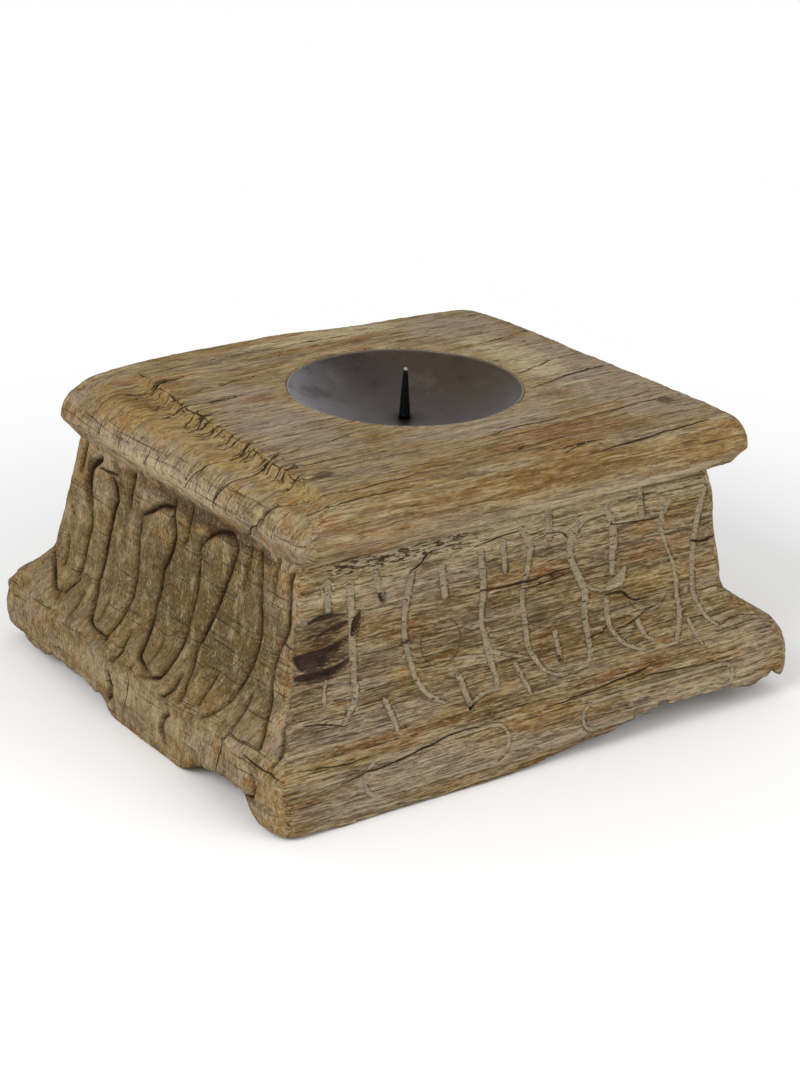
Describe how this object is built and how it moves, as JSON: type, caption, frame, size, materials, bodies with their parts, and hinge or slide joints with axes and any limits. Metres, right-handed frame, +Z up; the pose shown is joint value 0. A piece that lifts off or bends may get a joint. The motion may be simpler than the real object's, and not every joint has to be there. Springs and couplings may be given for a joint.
{
  "type": "pricket candle holder",
  "caption": "Carved old-timber block candle holder with a steel dish let into its top and a tapered spike for a pillar candle.",
  "frame": {"origin": "centre of the block's underside, on the surface it stands on", "axes": "+Z up; X along the grain and the block's longer side; -Y towards the front face"},
  "size_m": [0.2824, 0.252, 0.1446],
  "materials": {
    "weathered_wood": "dry, weathered and unfinished",
    "dish_steel": "dark patina, satin",
    "spike_iron": "blackened, satin"
  },
  "bodies": {
    "root": {"wood_block": "weathered_wood", "candle_dish": "dish_steel", "candle_spike": "spike_iron"}
  },
  "joints": []
}
